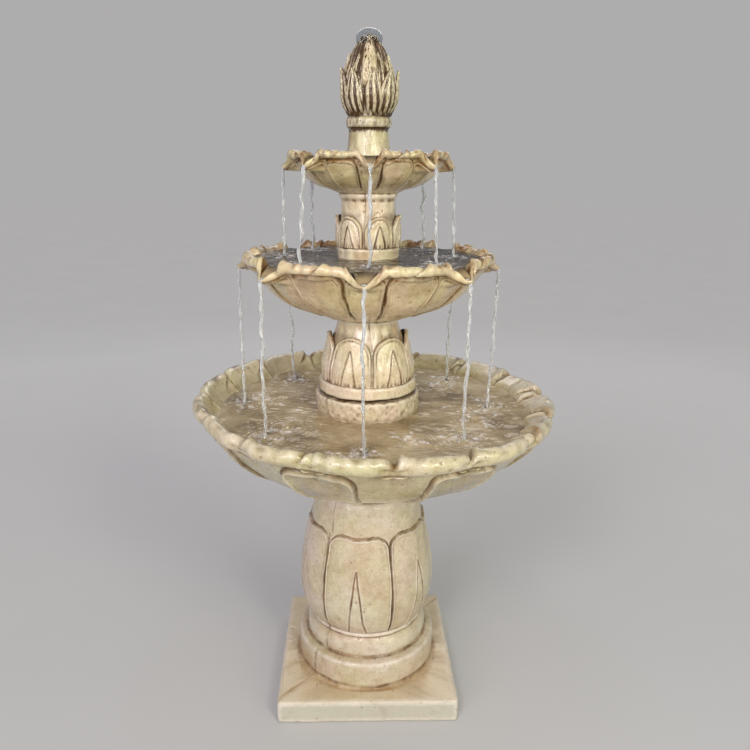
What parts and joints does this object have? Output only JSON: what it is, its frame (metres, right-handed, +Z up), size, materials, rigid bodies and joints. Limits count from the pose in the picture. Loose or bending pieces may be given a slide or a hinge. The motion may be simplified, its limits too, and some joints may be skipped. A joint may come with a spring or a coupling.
{
  "type": "tiered water fountain",
  "caption": "Free-standing stacked garden fountain: lotus pedestal on a square plinth, scalloped basin, pouring bowls on leafed columns, bud finial, pump inside.",
  "frame": {"origin": "middle of the plinth's underside, on the fountain's vertical axis", "axes": "+Z up the fountain's axis, -Y towards the front face of the plinth"},
  "size_m": [0.9106, 0.9106, 1.673],
  "materials": {
    "cast_stone": "antiqued cream cast stone, sealed, wet gloss where water runs",
    "shim_plastic": "moulded",
    "clear_vinyl": "smooth, slightly cloudy",
    "stainless_steel": "brushed",
    "grey_pvc": "satin",
    "brass": "dulled by water",
    "black_rubber": "matte",
    "black_plastic": "fine moulded texture",
    "white_plastic": "moulded",
    "ceramic_shaft": "ground smooth",
    "blue_plastic": "moulded",
    "water": "moving water, shown by the visual model only"
  },
  "bodies": {
    "pedestal": {"pedestal": "cast_stone"},
    "basin": {"lower_basin": "cast_stone", "pump_cover": "cast_stone", "leveling_shim_1": "shim_plastic", "leveling_shim_2": "shim_plastic", "leveling_shim_3": "shim_plastic", "cord_stopper": "black_rubber", "pump_hose": "clear_vinyl", "hose_clamp": "stainless_steel", "outlet_nozzle": "black_plastic", "motor_housing": "black_plastic", "motor_seal": "black_rubber", "pump_chamber": "black_plastic", "chamber_cover": "black_plastic", "strainer": "black_plastic", "impeller_shaft": "ceramic_shaft", "rear_bushing": "black_rubber", "front_bushing": "black_rubber", "cable_gland": "black_plastic", "suction_foot_rear_left": "black_rubber", "suction_foot_rear_right": "black_rubber", "suction_foot_front_left": "black_rubber", "suction_foot_front_right": "black_rubber"},
    "middle_tier": {"middle_column": "cast_stone", "middle_bowl": "cast_stone", "middle_riser_pipe": "grey_pvc", "middle_bowl_stopper": "black_rubber"},
    "upper_tier": {"upper_column": "cast_stone", "upper_bowl": "cast_stone", "upper_riser_pipe": "grey_pvc", "upper_bowl_stopper": "black_rubber"},
    "finial": {"finial": "cast_stone", "jet_tube": "brass"},
    "impeller": {"impeller": "white_plastic"},
    "flow_dial": {"flow_dial": "blue_plastic"}
  },
  "joints": [
    {"name": "basin_lift", "type": "slide", "parent": "pedestal", "child": "basin", "axis": [0, 0, 1], "range_m": [0, 0.1]},
    {"name": "middle_tier_lift", "type": "slide", "parent": "basin", "child": "middle_tier", "axis": [0, 0, 1], "range_m": [0, 0.15]},
    {"name": "upper_tier_lift", "type": "slide", "parent": "middle_tier", "child": "upper_tier", "axis": [0, 0, 1], "range_m": [0, 0.12]},
    {"name": "finial_lift", "type": "slide", "parent": "upper_tier", "child": "finial", "axis": [0, 0, 1], "range_m": [0, 0.1]},
    {"name": "impeller_spin", "type": "hinge", "parent": "basin", "child": "impeller", "pos_m": [0, 0, 0.6696], "axis": [1, 0, 0], "continuous": true},
    {"name": "flow_dial_turn", "type": "hinge", "parent": "basin", "child": "flow_dial", "pos_m": [0.0193, 0, 0.6696], "axis": [1, 0, 0], "range_deg": [0, 60]}
  ]
}
